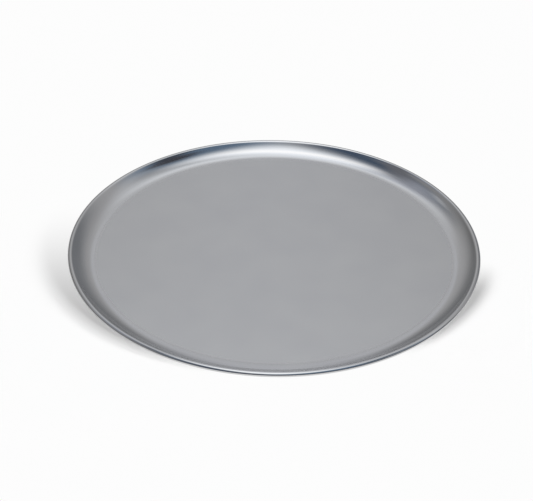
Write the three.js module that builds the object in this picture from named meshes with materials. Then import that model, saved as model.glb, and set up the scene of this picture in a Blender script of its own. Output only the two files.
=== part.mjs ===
// A round serving tray in stainless steel: one disc of sheet pressed into a shallow pan with a
// swept-up wall that turns over in a flat crown, its edge rolled round a steel wire that stiffens the rim.
// Millimetres, +Z up. The origin is the middle of the underside, on the surface the tray stands on.

import * as THREE from "three";

// Driving dimensions.
const TRAY_DIAMETER = 350; // over the rolled edge
const SHEET_GAUGE = 0.7; // thickness of the pressed sheet
const SWEEP_RADIUS = 30; // inside radius of the curve from the floor up into the wall
const SWEEP_ANGLE = 38; // degrees that the wall has turned up from the floor where the curve ends
const FLANK_LENGTH = 0.8; // straight stretch of wall between the curve and the crown
const CROWN_RADIUS = 3.2; // outside radius of the crown, where the wall turns over
const CROWN_TURN = 68; // degrees that the crown turns before the tighter roll round the wire
const WIRE_DIAMETER = 1.6; // stiffening wire inside the rolled edge
const WIRE_CLEARANCE = 0.1; // between the wire and the sheet rolled round it
const WIRE_END_GAP = 1; // where the two cut ends of the wire hoop meet
const EDGE_GAP = 0.4; // between the cut edge of the sheet and the crown that it is rolled back to

// Facets.
const ROUND_STEPS = 72; // round the tray
const SWEEP_STEPS = 6; // along the swept wall
const CROWN_STEPS = 4; // over the crown
const ROLL_STEPS = 12; // round the rolled edge
const WIRE_SIDES = 10; // round the wire

// Sizes that follow from the driving dimensions.
const sweepAngle = THREE.MathUtils.degToRad(SWEEP_ANGLE);
const crownTurn = THREE.MathUtils.degToRad(CROWN_TURN);
const crownInside = CROWN_RADIUS - SHEET_GAUGE;
const crownMiddle = CROWN_RADIUS - SHEET_GAUGE / 2;
const wireRadius = WIRE_DIAMETER / 2;
const rollInside = wireRadius + WIRE_CLEARANCE; // inside radius of the rolled edge
const rollMiddle = rollInside + SHEET_GAUGE / 2;
const rollOutside = rollInside + SHEET_GAUGE;

// Directions in the section, r outwards and z up: along the wall at its top, and square to it.
const alongWall = new THREE.Vector2(Math.cos(sweepAngle), Math.sin(sweepAngle));
const outOfWall = new THREE.Vector2(alongWall.y, -alongWall.x); // from the inside face to the outside face

// The crown runs into the roll without a corner, so both centres lie on one line through the place they meet.
const crownStart = sweepAngle + Math.PI / 2; // polar angle, about its centre, where the wall runs into the crown
const crownEnd = crownStart - crownTurn;
const crownToRoll = CROWN_RADIUS - rollOutside; // between the two centres
const towardsRoll = new THREE.Vector2(Math.cos(crownEnd), Math.sin(crownEnd));

// The sheet's middle line gives both centres, counted from the edge of the flat floor.
const sweepMiddle = SWEEP_RADIUS + SHEET_GAUGE / 2;
const sweepCentreHeight = SHEET_GAUGE + SWEEP_RADIUS;
const wallTop = new THREE.Vector2(0, sweepCentreHeight)
  .addScaledVector(outOfWall, sweepMiddle)
  .addScaledVector(alongWall, FLANK_LENGTH);
const crownFromFloorEdge = wallTop.clone().addScaledVector(outOfWall, crownMiddle);
const rollFromFloorEdge = crownFromFloorEdge.clone().addScaledVector(towardsRoll, crownToRoll);

// The rolled edge touches the full diameter, which sets the radius of the flat floor.
const rollRadius = TRAY_DIAMETER / 2 - rollOutside; // of the circle that the wire's middle lies on
const floorRadius = rollRadius - rollFromFloorEdge.x;
const sweepCentre = new THREE.Vector2(floorRadius, sweepCentreHeight);
const crownCentre = new THREE.Vector2(floorRadius + crownFromFloorEdge.x, crownFromFloorEdge.y);
const rollCentre = new THREE.Vector2(rollRadius, rollFromFloorEdge.y);

// The sheet is rolled round until its cut edge is EDGE_GAP short of the crown's inside face. The triangle of
// the two centres and the middle of the cut edge gives the angle that the roll leaves open.
const edgeFromCrown = crownMiddle - SHEET_GAUGE - EDGE_GAP; // from the crown's centre to the cut edge
const rollOpen = Math.acos(
  (edgeFromCrown ** 2 - crownToRoll ** 2 - rollMiddle ** 2) / (2 * crownToRoll * rollMiddle),
);
const rollEnd = crownEnd - (2 * Math.PI - rollOpen);

// Points on an arc of the section, both ends included.
function arc(centre, radius, from, to, steps) {
  return Array.from({ length: steps + 1 }, (_, i) => {
    const angle = from + ((to - from) * i) / steps;
    return new THREE.Vector2(Math.cos(angle), Math.sin(angle)).multiplyScalar(radius).add(centre);
  });
}

// One face of the sheet from the edge of the floor to its cut edge. The crown's last point starts the roll.
function sheetFace(sweepFaceRadius, crownFaceRadius, rollFaceRadius) {
  const sweepStart = -Math.PI / 2;
  return [
    ...arc(sweepCentre, sweepFaceRadius, sweepStart, sweepStart + sweepAngle, SWEEP_STEPS),
    ...arc(crownCentre, crownFaceRadius, crownStart, crownEnd, CROWN_STEPS),
    ...arc(rollCentre, rollFaceRadius, crownEnd, rollEnd, ROLL_STEPS).slice(1),
  ];
}

// The pressed pan: its section is the sheet, out along the underside and back along the top.
function trayPan(material) {
  const underside = sheetFace(SWEEP_RADIUS + SHEET_GAUGE, crownInside, rollInside);
  const topside = sheetFace(SWEEP_RADIUS, CROWN_RADIUS, rollOutside).reverse();
  const section = [
    new THREE.Vector2(0, 0),
    ...underside,
    ...topside,
    new THREE.Vector2(0, SHEET_GAUGE),
  ];
  const geometry = new THREE.LatheGeometry(section, ROUND_STEPS).rotateX(Math.PI / 2);
  const pan = new THREE.Mesh(geometry, material);
  pan.name = "tray_pan";
  return pan;
}

// The middle line of the wire: a hoop that stops short of a full turn by the gap between its ends.
class HoopCurve extends THREE.Curve {
  constructor(radius, gap) {
    super();
    this.radius = radius;
    this.gapAngle = gap / radius;
  }

  getPoint(t, target = new THREE.Vector3()) {
    const angle = Math.PI / 2 + this.gapAngle / 2 + t * (2 * Math.PI - this.gapAngle);
    return target.set(this.radius * Math.cos(angle), this.radius * Math.sin(angle), 0);
  }
}

// The wire hoop that the edge is rolled round, with its cut ends at the back of the tray.
function rimWire(material) {
  const round = new THREE.Shape().absarc(0, 0, wireRadius, 0, 2 * Math.PI, false);
  const geometry = new THREE.ExtrudeGeometry(round, {
    extrudePath: new HoopCurve(rollRadius, WIRE_END_GAP),
    steps: ROUND_STEPS,
    curveSegments: WIRE_SIDES / 2,
    bevelEnabled: false,
  });
  const wire = new THREE.Mesh(geometry, material);
  wire.name = "rim_wire";
  wire.position.z = rollCentre.y;
  return wire;
}

const satinSteel = new THREE.MeshStandardMaterial({
  color: 0xc9cacd,
  metalness: 1,
  roughness: 0.38,
});
const drawnSteel = new THREE.MeshStandardMaterial({
  color: 0xa9abae,
  metalness: 1,
  roughness: 0.5,
});

const tray = new THREE.Group();
tray.add(trayPan(satinSteel), rimWire(drawnSteel));

export default tray;
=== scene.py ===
# %% [markdown]
# Round stainless steel serving tray.
# The tray is one disc of sheet steel. A press or a spinning lathe turns its edge up into a low, curved
# wall. The wall turns over in a flat crown, and the very edge is rolled under round a steel wire, which
# makes the rim stiff and safe to hold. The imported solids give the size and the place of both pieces.
# This file makes their fine surfaces and their finishes, the light, and the camera.

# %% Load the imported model
import math

import bpy
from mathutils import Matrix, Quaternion, Vector


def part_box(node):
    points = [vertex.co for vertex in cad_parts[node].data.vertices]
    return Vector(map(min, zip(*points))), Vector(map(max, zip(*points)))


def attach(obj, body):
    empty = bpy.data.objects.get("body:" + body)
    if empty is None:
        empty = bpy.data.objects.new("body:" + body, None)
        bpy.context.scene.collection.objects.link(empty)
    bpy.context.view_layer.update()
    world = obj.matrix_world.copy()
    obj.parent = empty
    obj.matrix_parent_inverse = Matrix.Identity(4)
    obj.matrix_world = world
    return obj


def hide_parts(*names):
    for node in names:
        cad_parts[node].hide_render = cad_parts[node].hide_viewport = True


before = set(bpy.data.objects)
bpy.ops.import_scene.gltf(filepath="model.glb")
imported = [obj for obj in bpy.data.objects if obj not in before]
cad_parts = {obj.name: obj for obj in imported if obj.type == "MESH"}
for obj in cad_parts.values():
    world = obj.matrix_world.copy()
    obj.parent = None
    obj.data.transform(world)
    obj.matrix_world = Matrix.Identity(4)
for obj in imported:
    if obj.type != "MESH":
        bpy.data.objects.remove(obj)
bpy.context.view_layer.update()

MM = 0.001  # Blender works in metres

print("nodes:", sorted(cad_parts))

# %% [markdown]
# The camera comes first, because every later choice is judged through it.
# The outline of a round tray is an ellipse, and its height over its width gives the angle that the
# camera looks down at. The ellipse leans a little, so the camera was not quite level. How far away it
# stood can't be read from so flat an object. A few tray diameters is usual in a studio, and a long
# lens then fills the picture.

# %% Camera
PHOTO_WIDTH = 533  # pixels
PHOTO_HEIGHT = 501
TRAY_MIDDLE_PX = (274.15, 253.25)  # where the middle of the underside lies in the photograph
PIXELS_PER_MM = 1.172  # in the plane of that point
CAMERA_DISTANCE = 1470 * MM
CAMERA_ELEVATION = math.radians(34.75)
CAMERA_ROLL = math.radians(0.95)
SENSOR_WIDTH = 36  # millimetres of film, over the long side of the picture


def make_camera():
    """A camera that looks at the tray's middle, turned so that the middle lands on its pixel."""
    towards_camera = Vector((0, -math.cos(CAMERA_ELEVATION), math.sin(CAMERA_ELEVATION)))
    roll = Quaternion((0, 0, 1), CAMERA_ROLL)
    turn = towards_camera.to_track_quat("Z", "Y") @ roll
    metres_per_pixel = MM / PIXELS_PER_MM
    aim = turn @ Vector((PHOTO_WIDTH / 2 - TRAY_MIDDLE_PX[0], TRAY_MIDDLE_PX[1] - PHOTO_HEIGHT / 2, 0))
    place = towards_camera * CAMERA_DISTANCE
    look = (place - aim * metres_per_pixel).to_track_quat("Z", "Y") @ roll
    bpy.ops.object.camera_add(location=place, rotation=look.to_euler())
    camera = bpy.context.object
    camera.name = "photo_camera"
    camera.data.sensor_width = SENSOR_WIDTH
    camera.data.lens = SENSOR_WIDTH * CAMERA_DISTANCE / (PHOTO_WIDTH * metres_per_pixel)
    bpy.context.scene.camera = camera
    return camera


photo_camera = make_camera()
print("lens:", round(photo_camera.data.lens, 1), "mm")

# %% [markdown]
# Colours are written as the hex values that a colour picker shows, which are sRGB. Blender works in
# linear light, so one function converts them. Another adds a shader node with its settings and links.

# %% Colour and node helpers
def linear(hex_colour):
    """The linear red, green, blue and alpha of a hex colour, by the curve of the sRGB standard."""
    channels = [int(hex_colour[i:i + 2], 16) / 255 for i in (1, 3, 5)]
    return [c / 12.92 if c <= 0.04045 else ((c + 0.055) / 1.055) ** 2.4 for c in channels] + [1]


def add_node(tree, kind, inputs=(), **settings):
    """A new node with its settings, and with a link or a constant value on each input that is named."""
    node = tree.nodes.new(kind)
    for name, value in settings.items():
        setattr(node, name, value)
    for key, value in dict(inputs).items():
        socket = node.inputs[key]
        if isinstance(value, bpy.types.NodeSocket):
            tree.links.new(value, socket)
        else:
            socket.default_value = value
    return node


# %% [markdown]
# The tray lies on a wide sheet of white paper. Paper is matt, so it has no gloss of its own, and it
# stays at 98% of full white, which keeps the picture from clipping. The tray's shadow shows in two
# places only, to the left and at the right, and elsewhere the paper is flooded with light up to the rim.
# More lamps on the paper would do that, and would also light the tray. Here the paper glows by itself
# outside the two places, at the level that the lamps give it there, so nothing else gets brighter.

# %% Floor
FLOOR_RADIUS = 6.0  # metres, so that its edge is far outside the picture
FLOOR_SIDES = 64
PAPER = "#f7f7f7"
PAPER_ROUGHNESS = 0.9
PAPER_WHITE = 0.98  # of full white, the glow painted on the paper outside the two shadow places, which covers the tray's shadow there
SHADOW_PLACES = (
    # middle to the right and to the back, radius of the full shadow, radius where it has gone, in mm
    (-140, -120, 5, 198),
    (165, -88, 30, 85),
)


def white_paper():
    material = bpy.data.materials.new("matt_white_paper")
    material.use_nodes = True
    tree = material.node_tree
    shader = tree.nodes["Principled BSDF"]
    shader.inputs["Base Color"].default_value = linear(PAPER)
    shader.inputs["Roughness"].default_value = PAPER_ROUGHNESS
    shader.inputs["Specular IOR Level"].default_value = 0
    place = add_node(tree, "ShaderNodeTexCoord").outputs["Object"]
    flood = 1.0
    for right, back, full, gone in SHADOW_PLACES:
        middle = (right * MM, back * MM, 0)
        away = add_node(tree, "ShaderNodeVectorMath", {0: place, 1: middle}, operation="DISTANCE")
        outside = add_node(
            tree, "ShaderNodeMapRange",
            {"Value": away.outputs["Value"], "From Min": full * MM, "From Max": gone * MM},
            interpolation_type="SMOOTHSTEP",
        )
        both = add_node(tree, "ShaderNodeMath", {0: outside.outputs[0], 1: flood}, operation="MULTIPLY")
        flood = both.outputs[0]
    # The glow is painted light: outside the two places it covers the tray's shadow on the paper.
    glow = add_node(tree, "ShaderNodeEmission", {"Strength": PAPER_WHITE}).outputs[0]
    mixed = add_node(tree, "ShaderNodeMixShader", {0: flood, 1: shader.outputs[0], 2: glow})
    tree.links.new(mixed.outputs[0], tree.nodes["Material Output"].inputs["Surface"])
    return material


bpy.ops.object.select_all(action="DESELECT")
bpy.ops.mesh.primitive_circle_add(vertices=FLOOR_SIDES, radius=FLOOR_RADIUS, fill_type="NGON")
floor = bpy.context.object
floor.name = "studio_floor"
floor.data.materials.append(white_paper())
print("places with a shadow:", len(SHADOW_PLACES))

# %% [markdown]
# Polished metal shows its surroundings more than itself, so the surroundings are built with care.
# The studio is a grey room, darker towards the floor and dim behind the camera. A broad white softbox
# hangs overhead. Dark flags on both sides of it put the dark accents into the curved wall, and a narrow
# lit panel stands behind the tray. Real panels with lamps in them would do. Here each one is painted on
# the world's background by its compass direction, with a soft edge, because that gives the same light
# all over the tray and in every view.

# %% Directions and panels
def compass(azimuth, elevation):
    """A unit direction in degrees: azimuth 0 is behind the tray and 90 to the right."""
    turn = math.radians(azimuth)
    rise = math.radians(elevation)
    return Vector((math.sin(turn) * math.cos(rise), math.cos(turn) * math.cos(rise), math.sin(rise)))


def paint_panel(tree, direction, under, azimuth, elevation, width, height, soft, colour, level):
    """The surroundings with a soft-edged panel painted over them, its sizes in degrees."""
    ahead = compass(azimuth, elevation)
    across = compass(azimuth + 90, 0)
    upwards = across.cross(ahead)
    depth = add_node(tree, "ShaderNodeVectorMath", {0: direction, 1: ahead}, operation="DOT_PRODUCT")
    depth = depth.outputs["Value"]
    mask = add_node(tree, "ShaderNodeMath", {0: depth, 1: 0.0}, operation="GREATER_THAN").outputs[0]
    for axis, size in ((across, width), (upwards, height)):
        offset = add_node(tree, "ShaderNodeVectorMath", {0: direction, 1: axis}, operation="DOT_PRODUCT")
        angle = add_node(tree, "ShaderNodeMath", {0: offset.outputs["Value"], 1: depth}, operation="ARCTAN2")
        away = add_node(tree, "ShaderNodeMath", {0: angle.outputs[0]}, operation="ABSOLUTE").outputs[0]
        inner = math.radians(size / 2 - soft)
        outer = math.radians(size / 2 + soft)
        edge = add_node(
            tree, "ShaderNodeMapRange",
            {"Value": away, "From Min": inner, "From Max": outer, "To Min": 1.0, "To Max": 0.0},
            interpolation_type="SMOOTHSTEP",
        ).outputs[0]
        mask = add_node(tree, "ShaderNodeMath", {0: mask, 1: edge}, operation="MULTIPLY").outputs[0]
    light = [channel * level for channel in linear(colour)]
    # The colours of a Mix node are its inputs 6 and 7, and its output 2.
    painted = add_node(tree, "ShaderNodeMix", {0: mask, 6: under, 7: light}, data_type="RGBA")
    return painted.outputs[2]


# %% Surroundings that the steel reflects
ROOM_LOW = ("#f8fbff", 0.22)  # colour and level at the horizon
ROOM_HIGH = ("#fefeff", 0.5)
ROOM_GRADE = 30  # degrees above the horizon where the room reaches its full level
PANELS = (
    # azimuth, elevation, width, height, softness, colour, level
    (180, 28, 160, 68, 8, "#dbe3f0", 0.2),  # dim room behind the camera
    (100, 16, 60, 44, 8, "#dbe3f0", 0.16),  # and to its right
    (0, -3, 6, 78, 4, "#f7f9ff", 0.72),  # lit panel behind the tray
    (48, 76, 74, 43, 13, "#f6faff", 1.5),  # overhead softbox
    (28, 76, 93, 11, 3, "#ffffff", 1.66),  # its bright middle
    (115, 64, 61, 39, 11, "#b8daff", 0.31),  # flag to the right of it
    (-100, 66, 80, 24, 11, "#b0d2ff", 0.16),  # flag to the left of it
    (82, 61, 15, 15, 2, "#eeeeff", 0.07),  # black middle of the right flag
    (-56, 57, 41, 10, 2, "#eff3ff", 0.22),  # end of the left flag
    (-34, 53, 32, 7, 5, "#eaf0ff", 0.54),  # gap between it and the softbox
    (30, 58, 27, 6, 10, "#fbfbff", 0.15),  # shade under the softbox
    (-75, 23, 97, 22, 29, "#ffffff", 0.07),  # dim corner, low on the left
    (32, 13, 34, 41, 14, "#f4f8ff", 0.25),  # dim corner, low on the right
)


def studio_world():
    world = bpy.data.worlds.new("studio")
    world.use_nodes = True
    tree = world.node_tree
    tree.nodes.clear()
    direction = add_node(tree, "ShaderNodeTexCoord").outputs["Generated"]
    height = add_node(tree, "ShaderNodeSeparateXYZ", {0: direction}).outputs["Z"]
    rise = add_node(
        tree, "ShaderNodeMapRange",
        {"Value": height, "From Min": 0.0, "From Max": math.sin(math.radians(ROOM_GRADE))},
        interpolation_type="SMOOTHSTEP",
    ).outputs[0]
    low, high = [
        [channel * level for channel in linear(colour)] for colour, level in (ROOM_LOW, ROOM_HIGH)
    ]
    light = add_node(tree, "ShaderNodeMix", {0: rise, 6: low, 7: high}, data_type="RGBA").outputs[2]
    for panel in PANELS:
        light = paint_panel(tree, direction, light, *panel)
    background = add_node(tree, "ShaderNodeBackground", {"Color": light})
    add_node(tree, "ShaderNodeOutputWorld", {"Surface": background.outputs[0]})
    return world


studio = studio_world()
bpy.context.scene.world = studio
studio.cycles_visibility.diffuse = False  # the room lights the steel, and the lamps light the paper
print("panels:", len(PANELS))

# %% [markdown]
# Lamps light the paper and give the tray its shadows. A sun lamp lights the whole floor evenly, and
# its angle sets how soft the shadow's edge is. They stand low on both sides of the camera, so the
# shadows fall to the sides and a little back. Three in a row on each side make a softer edge than one.
# Steel shows lamps only as reflections, so they are kept out of those, which belong to the surroundings
# above.

# %% Lamps for the floor
def paper_lamp(name, azimuth, elevation, spread, level):
    """A soft sun whose level is the share of full white that it gives a white floor."""
    direction = compass(azimuth, elevation)
    bpy.ops.object.light_add(type="SUN", rotation=direction.to_track_quat("Z", "Y").to_euler())
    lamp = bpy.context.object
    lamp.name = name
    lamp.data.angle = math.radians(spread)
    lamp.data.energy = level * math.pi / direction.z
    lamp.visible_glossy = False
    return lamp


LAMP_ROWS = (
    # name, azimuths, elevation, spread, share of full white that the whole row gives
    ("left_lamp", (-147, -138, -129), 17.5, 11, 0.53),
    ("right_lamp", (116, 126, 136), 12.5, 7, 0.526),
)
for name, azimuths, elevation, spread, level in LAMP_ROWS:
    for azimuth in azimuths:
        lamp = paper_lamp(name, azimuth, elevation, spread, level / len(azimuths))
        print(lamp.name, round(lamp.data.energy, 2))

# Standard shows a colour as it is written, without a film look over it.
bpy.context.scene.view_settings.view_transform = "Standard"

# %% [markdown]
# The pan is as thin as the sheet it is pressed from, so its form is the path of the middle of that
# sheet: a flat floor, a curve that sweeps up, a short flank, a crown, and a roll round the wire.
# These sizes are the ones that the solids were made with, and the diameter comes from the solid itself.

# %% Sizes of the sheet
SHEET_GAUGE = 0.7 * MM
SWEEP_RADIUS = 30 * MM  # inside radius of the curve from the floor up into the wall
SWEEP_ANGLE = math.radians(38)  # that the wall has turned up where the curve ends
FLANK_LENGTH = 0.8 * MM
CROWN_RADIUS = 3.2 * MM  # outside radius of the crown, where the wall turns over
CROWN_TURN = math.radians(68)  # that the crown turns before the tighter roll
WIRE_DIAMETER = 1.6 * MM
WIRE_CLEARANCE = 0.1 * MM  # between the wire and the sheet rolled round it
WIRE_END_GAP = 1 * MM
EDGE_GAP = 0.4 * MM  # between the cut edge of the sheet and the crown

pan_low, pan_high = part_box("tray_pan")
tray_radius = (pan_high.x - pan_low.x) / 2
roll_middle = WIRE_DIAMETER / 2 + WIRE_CLEARANCE + SHEET_GAUGE / 2
roll_outside = roll_middle + SHEET_GAUGE / 2
crown_middle = CROWN_RADIUS - SHEET_GAUGE / 2
crown_to_roll = CROWN_RADIUS - roll_outside
crown_end = SWEEP_ANGLE + math.pi / 2 - CROWN_TURN  # angle in the section where the roll takes over
sweep_middle = SWEEP_RADIUS + SHEET_GAUGE / 2
sweep_height = SHEET_GAUGE + SWEEP_RADIUS
along_wall = Vector((math.cos(SWEEP_ANGLE), 0, math.sin(SWEEP_ANGLE)))
out_of_wall = Vector((math.sin(SWEEP_ANGLE), 0, -math.cos(SWEEP_ANGLE)))
towards_roll = Vector((math.cos(crown_end), 0, math.sin(crown_end)))

crown_offset = Vector((0, 0, sweep_height)) + along_wall * FLANK_LENGTH
crown_offset += out_of_wall * (sweep_middle + crown_middle)  # from the edge of the flat floor
roll_offset = crown_offset + towards_roll * crown_to_roll
floor_radius = tray_radius - roll_outside - roll_offset.x
sweep_centre = Vector((floor_radius, 0, sweep_height))
crown_centre = Vector((floor_radius, 0, 0)) + crown_offset
roll_centre = Vector((floor_radius, 0, 0)) + roll_offset
edge_from_crown = crown_middle - SHEET_GAUGE - EDGE_GAP
roll_open = math.acos(
    (edge_from_crown ** 2 - crown_to_roll ** 2 - roll_middle ** 2) / (2 * crown_to_roll * roll_middle)
)
roll_turn = 2 * math.pi - roll_open
print("flat floor in mm:", round(2 * floor_radius / MM, 1))
print("middle of the roll in mm:", [round(c / MM, 2) for c in roll_centre])

# %% [markdown]
# The pan could be a primitive disc with its rings pulled up one by one. Drawing its section and
# spinning that about the tray's axis is closer to how the real one is formed on a lathe, and every
# curve in it is a true arc. One vertex is extruded along the floor and spun through each arc, the whole
# line is spun through a full turn, and Solidify gives the sheet its gauge. Solidify can give the second
# face of the sheet the next material, which is how the underside gets its own finish later.

# %% Tools for drawing a section
MERGE = 0.001 * MM  # vertices closer than this are one


def start_vertex(name, place):
    """A new mesh object that holds one vertex, selected in edit mode."""
    bpy.ops.object.select_all(action="DESELECT")
    bpy.ops.mesh.primitive_plane_add(size=MM, location=place)
    piece = bpy.context.object
    piece.name = name
    bpy.ops.object.transform_apply(location=True)
    bpy.ops.object.mode_set(mode="EDIT")
    bpy.ops.mesh.select_all(action="SELECT")
    bpy.ops.mesh.merge(type="CENTER")
    return piece


def draw_line(step):
    bpy.ops.mesh.extrude_vertices_move(TRANSFORM_OT_translate={"value": step})


def draw_arc(centre, angle, steps):
    bpy.ops.mesh.spin(steps=steps, angle=angle, center=centre, axis=(0, 1, 0))


# %% Pan
ROUND_STEPS = 512  # enough that the facets of the rim can't be seen in its highlights
FLOOR_RINGS = 8
LAST_RING = 1 * MM  # a narrow ring at the edge of the floor, so that the floor is shaded flat up to it
SWEEP_STEPS = 26
CROWN_STEPS = 10
ROLL_STEPS = 28
CRISP_ANGLE = math.radians(40)  # edges sharper than this stay crisp

pan = start_vertex("pressed_pan", (0, 0, SHEET_GAUGE / 2))
for ring in range(FLOOR_RINGS):
    draw_line(((floor_radius - LAST_RING) / FLOOR_RINGS, 0, 0))
draw_line((LAST_RING, 0, 0))
draw_arc(sweep_centre, SWEEP_ANGLE, SWEEP_STEPS)
draw_line(along_wall * FLANK_LENGTH)
draw_arc(crown_centre, -CROWN_TURN, CROWN_STEPS)
draw_arc(roll_centre, -roll_turn, ROLL_STEPS)
bpy.ops.mesh.select_all(action="SELECT")
bpy.ops.mesh.spin(steps=ROUND_STEPS, angle=2 * math.pi, center=(0, 0, 0), axis=(0, 0, 1))
bpy.ops.mesh.select_all(action="SELECT")
bpy.ops.mesh.remove_doubles(threshold=MERGE)
bpy.ops.mesh.normals_make_consistent(inside=False)
bpy.ops.object.mode_set(mode="OBJECT")
print("pan as a thin shell:", len(pan.data.polygons), "faces")

# %% [markdown]
# Stainless steel has no coat, so its finish is all in the fine marks that the making left. The floor
# keeps the satin of the rolled sheet, a grain too fine to see that blurs the room to one even grey. The
# wall was polished while the pan turned, so its marks run round it and it mirrors the softbox in long
# soft bands. The crown and the roll were buffed and show sharp highlights. Three materials with hard
# borders would show lines that the tray hasn't got. One material that changes with the distance from
# the tray's axis lets each finish fade into the next. All the steels start from one bare metal.

# %% Bare steel
def bare_steel(name):
    """A new material of bare metal, with its node tree, its shader and the place on the piece."""
    material = bpy.data.materials.new(name)
    material.use_nodes = True
    tree = material.node_tree
    shader = tree.nodes["Principled BSDF"]
    shader.inputs["Metallic"].default_value = 1
    place = add_node(tree, "ShaderNodeTexCoord").outputs["Object"]
    return material, tree, shader, place


def distance_from_axis(tree, place):
    """The distance of each place from the tray's axis, as a shader value in metres."""
    flat = add_node(tree, "ShaderNodeVectorMath", {0: place, 1: (1, 1, 0)}, operation="MULTIPLY").outputs[0]
    return add_node(tree, "ShaderNodeVectorMath", {0: flat}, operation="LENGTH").outputs["Value"]


# %% Satin and polished steel
STEEL_LIGHT = "#d0d0d0"
STEEL_DARK = "#c8c8ca"
SATIN_ROUGHNESS = (0.285, 0.315)
POLISHED_ROUGHNESS = (0.13, 0.17)
BUFFED_ROUGHNESS = 0.1
GRAIN_SIZE = 1.2 * MM  # the real grain is about 0.05 mm, and is drawn coarser so that it shows
LINE_SPACING = 1.0 * MM  # the real polishing lines are about 0.1 mm apart, and are drawn coarser too
CLOUD_SIZE = 40 * MM  # soft, wide changes of tone
MARK_DEPTH = 0.001 * MM  # of the grain and the lines as drawn
NOISE_RANGE = (0.3, 0.7)  # nearly all of a noise texture lies between these
POLISH_BEFORE_FOOT = 2 * MM  # satin starts to turn to polish so far inside the edge of the flat floor
POLISH_PAST_FOOT = 5.5 * MM  # and is all polish so far outside it
BUFF_FROM_EDGE = (5.5 * MM, 3.5 * MM)  # inwards from the outer edge, where polish turns to the buffed rim

polish_start = floor_radius - POLISH_BEFORE_FOOT
polish_full = floor_radius + POLISH_PAST_FOOT
buff_start, buff_full = [tray_radius - inwards for inwards in BUFF_FROM_EDGE]
print("polish in mm from the axis:", round(polish_start / MM, 1), "to", round(buff_start / MM, 1))


def satin_and_polished_steel():
    material, tree, shader, place = bare_steel("satin_and_polished_stainless_steel")
    radius = distance_from_axis(tree, place)

    # Pickling leaves the sheet a trace lighter or darker over wide areas, which keeps it from looking drawn.
    clouds = add_node(tree, "ShaderNodeTexNoise", {"Vector": place, "Scale": 1 / CLOUD_SIZE, "Detail": 1.0})
    tone = add_node(
        tree, "ShaderNodeMix",
        {0: clouds.outputs[0], 6: linear(STEEL_DARK), 7: linear(STEEL_LIGHT)}, data_type="RGBA",
    )
    tree.links.new(tone.outputs[2], shader.inputs["Base Color"])

    # The satin has a grain without direction. It gives the floor a faint tooth.
    grain = add_node(
        tree, "ShaderNodeTexNoise", {"Vector": place, "Scale": 1 / GRAIN_SIZE, "Detail": 2.0}
    ).outputs[0]
    satin = add_node(tree, "ShaderNodeMapRange", {
        "Value": grain, "From Min": NOISE_RANGE[0], "From Max": NOISE_RANGE[1],
        "To Min": SATIN_ROUGHNESS[0], "To Max": SATIN_ROUGHNESS[1],
    }).outputs[0]

    # Polishing lines are rings, so they depend on the distance from the axis alone. They streak the wall.
    lines = add_node(
        tree, "ShaderNodeTexNoise", {"W": radius, "Scale": 1 / LINE_SPACING, "Detail": 2.0},
        noise_dimensions="1D",
    ).outputs[0]
    polished = add_node(tree, "ShaderNodeMapRange", {
        "Value": lines, "From Min": NOISE_RANGE[0], "From Max": NOISE_RANGE[1],
        "To Min": POLISHED_ROUGHNESS[0], "To Max": POLISHED_ROUGHNESS[1],
    }).outputs[0]

    # From the floor outwards, satin turns to polish, and polish to the buffed rim.
    wall = add_node(
        tree, "ShaderNodeMapRange",
        {
            "Value": radius, "From Min": polish_start, "From Max": polish_full,
            "To Min": satin, "To Max": polished,
        },
        interpolation_type="SMOOTHSTEP",
    ).outputs[0]
    rim = add_node(
        tree, "ShaderNodeMapRange",
        {
            "Value": radius, "From Min": buff_start, "From Max": buff_full,
            "To Min": wall, "To Max": BUFFED_ROUGHNESS,
        },
        interpolation_type="SMOOTHSTEP",
    ).outputs[0]
    tree.links.new(rim, shader.inputs["Roughness"])

    # The same marks are a little relief, which breaks up the edges of the reflections.
    marks = add_node(tree, "ShaderNodeMapRange", {
        "Value": radius, "From Min": polish_start, "From Max": polish_full, "To Min": grain, "To Max": lines,
    }).outputs[0]
    relief = add_node(tree, "ShaderNodeBump", {"Height": marks, "Strength": 1.0, "Distance": MARK_DEPTH})
    tree.links.new(relief.outputs[0], shader.inputs["Normal"])
    return material


# %% [markdown]
# The underside is never polished. It keeps the mill's dull finish, with a coarser grain and no lines,
# and so do the inside of the roll and the cut edge. A dull face scatters what it reflects, and looks a
# flat, darker grey beside the polished one.

# %% Mill finish
MILL_LIGHT = "#bebfc1"
MILL_DARK = "#b2b3b6"
MILL_ROUGHNESS = (0.38, 0.46)
MILL_GRAIN = 2 * MM  # coarser than the real 0.1 mm or so, to show


def mill_finish_steel():
    material, tree, shader, place = bare_steel("mill_finish_stainless_steel")
    grain = add_node(
        tree, "ShaderNodeTexNoise", {"Vector": place, "Scale": 1 / MILL_GRAIN, "Detail": 3.0}
    ).outputs[0]
    clouds = add_node(tree, "ShaderNodeTexNoise", {"Vector": place, "Scale": 1 / CLOUD_SIZE, "Detail": 2.0})
    tone = add_node(
        tree, "ShaderNodeMix",
        {0: clouds.outputs[0], 6: linear(MILL_DARK), 7: linear(MILL_LIGHT)}, data_type="RGBA",
    )
    dull = add_node(tree, "ShaderNodeMapRange", {
        "Value": grain, "From Min": NOISE_RANGE[0], "From Max": NOISE_RANGE[1],
        "To Min": MILL_ROUGHNESS[0], "To Max": MILL_ROUGHNESS[1],
    })
    relief = add_node(tree, "ShaderNodeBump", {"Height": grain, "Strength": 1.0, "Distance": MARK_DEPTH})
    tree.links.new(tone.outputs[2], shader.inputs["Base Color"])
    tree.links.new(dull.outputs[0], shader.inputs["Roughness"])
    tree.links.new(relief.outputs[0], shader.inputs["Normal"])
    return material


# %% [markdown]
# Solidify now turns the thin shell into sheet. It keeps the shell's own faces on one side and makes
# new ones for the other side and for the cut edge, and those take the second material.

# %% Gauge of the sheet
LEVEL = 0.999  # upward part of a normal, above which a face counts as level

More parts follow.
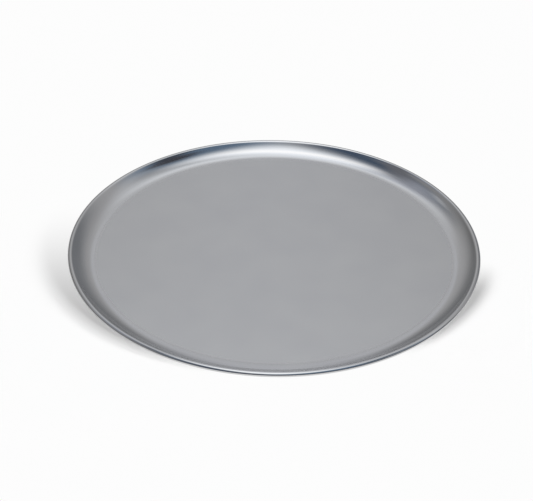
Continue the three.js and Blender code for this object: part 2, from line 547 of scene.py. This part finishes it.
pan.data.materials.append(satin_and_polished_steel())
pan.data.materials.append(mill_finish_steel())
gauge = pan.modifiers.new("sheet gauge", "SOLIDIFY")
gauge.thickness = SHEET_GAUGE
gauge.offset = 0
gauge.use_even_offset = True
gauge.material_offset = 1
gauge.material_offset_rim = 1
bpy.ops.object.modifier_apply(modifier=gauge.name)
serving_floor = [
    face for face in pan.data.polygons if face.normal.z > LEVEL and face.center.xy.length < floor_radius
]
floor_finishes = {pan.data.materials[face.material_index].name for face in serving_floor}
print("finish of the serving floor:", floor_finishes)
print("pan:", len(pan.data.vertices), "vertices,", len(pan.data.polygons), "faces")

# %% [markdown]
# The sheet was cut by a punch or on a lathe, and its cut edge was deburred before it was rolled in.
# That edge looks at the underside of the crown and is seen only from below. A small bevel takes its two
# corners off.

# %% Cut edge
DEBURR = 0.15 * MM
DEBURR_SEGMENTS = 2  # enough for so small a corner
CORNER = math.radians(60)  # only the corners of the cut edge are as sharp as this

bpy.ops.object.mode_set(mode="EDIT")
bpy.ops.mesh.select_all(action="DESELECT")
bpy.ops.mesh.select_mode(type="EDGE")
bpy.ops.mesh.edges_select_sharp(sharpness=CORNER)
bpy.ops.mesh.bevel(offset=DEBURR, segments=DEBURR_SEGMENTS, affect="EDGES")
bpy.ops.object.mode_set(mode="OBJECT")
bpy.ops.object.shade_smooth_by_angle(angle=CRISP_ANGLE)
print("pan with its cut edge:", len(pan.data.polygons), "faces")

# %% [markdown]
# Polished steel throws light back onto the paper beside it and fills its own shadow. In the photograph
# the shadow is darkest at the rim. So the pan is hidden from the light that the paper gathers, and
# still casts its shadow there.

# %% Keep the shadow dark at the rim
pan.visible_diffuse = False
print("pan throws light on the paper:", pan.visible_diffuse)

# %% [markdown]
# The wire inside the roll is bent from straight wire into a hoop, and its two cut ends almost meet at
# the back. A curve with a round bevel would do. A circle spun round the tray's axis, short of a full
# turn by the gap, gives the same tube with flat cut ends.

# %% Wire
WIRE_SIDES = 20
HOOP_STEPS = 240

gap_angle = WIRE_END_GAP / roll_centre.x
bpy.ops.object.select_all(action="DESELECT")
bpy.ops.mesh.primitive_circle_add(
    vertices=WIRE_SIDES, radius=WIRE_DIAMETER / 2, location=(0, roll_centre.x, roll_centre.z),
    rotation=(0, math.pi / 2, 0),
)
wire = bpy.context.object
wire.name = "wire_hoop"
bpy.ops.object.transform_apply(location=True, rotation=True)
bpy.ops.object.mode_set(mode="EDIT")
bpy.ops.mesh.select_all(action="SELECT")
bpy.ops.transform.rotate(value=gap_angle / 2, orient_axis="Z", center_override=(0, 0, 0))
bpy.ops.mesh.spin(
    steps=HOOP_STEPS, angle=2 * math.pi - gap_angle, center=(0, 0, 0), axis=(0, 0, 1)
)
bpy.ops.mesh.select_all(action="SELECT")
bpy.ops.mesh.fill_holes(sides=0)
bpy.ops.mesh.select_all(action="SELECT")
bpy.ops.mesh.normals_make_consistent(inside=False)
bpy.ops.object.mode_set(mode="OBJECT")
bpy.ops.object.shade_smooth_by_angle(angle=CRISP_ANGLE)
print("wire:", len(wire.data.polygons), "faces")

# %% [markdown]
# Wire is drawn through a die, which scores it along its length, and it is left dull, because the roll
# hides it. The scores run along the hoop, so a noise that reads only the distance from the axis and the
# height is drawn out into lines along it.

# %% Drawn wire
WIRE_LIGHT = "#b0b2b5"
WIRE_DARK = "#a2a4a7"
WIRE_ROUGHNESS = (0.42, 0.56)
SCORE_SPACING = 0.2 * MM  # the real scores are about 0.02 mm apart, and are drawn coarser


def drawn_wire_steel():
    material, tree, shader, place = bare_steel("drawn_steel_wire")
    radius = distance_from_axis(tree, place)
    height = add_node(tree, "ShaderNodeSeparateXYZ", {0: place}).outputs["Z"]
    section = add_node(tree, "ShaderNodeCombineXYZ", {"X": radius, "Y": height}).outputs[0]
    scores = add_node(
        tree, "ShaderNodeTexNoise", {"Vector": section, "Scale": 1 / SCORE_SPACING, "Detail": 1.0}
    ).outputs[0]
    tone = add_node(
        tree, "ShaderNodeMix", {0: scores, 6: linear(WIRE_DARK), 7: linear(WIRE_LIGHT)}, data_type="RGBA"
    )
    dull = add_node(tree, "ShaderNodeMapRange", {
        "Value": scores, "From Min": NOISE_RANGE[0], "From Max": NOISE_RANGE[1],
        "To Min": WIRE_ROUGHNESS[0], "To Max": WIRE_ROUGHNESS[1],
    })
    tree.links.new(tone.outputs[2], shader.inputs["Base Color"])
    tree.links.new(dull.outputs[0], shader.inputs["Roughness"])
    return material


wire.data.materials.append(drawn_wire_steel())
print("finishes:", [m.name for piece in (pan, wire) for m in piece.data.materials])

# %% [markdown]
# Each visual piece rides on the body that carries the part and stands for its imported solid, which is
# hidden. The tray has no moving parts, so both ride on the root.

# %% Ride on the root and stand for the imported nodes
for piece, node, slot in ((pan, "tray_pan", "satin_steel"), (wire, "rim_wire", "wire_steel")):
    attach(piece, "root")
    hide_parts(node)
    print(piece.name, "stands for", node)
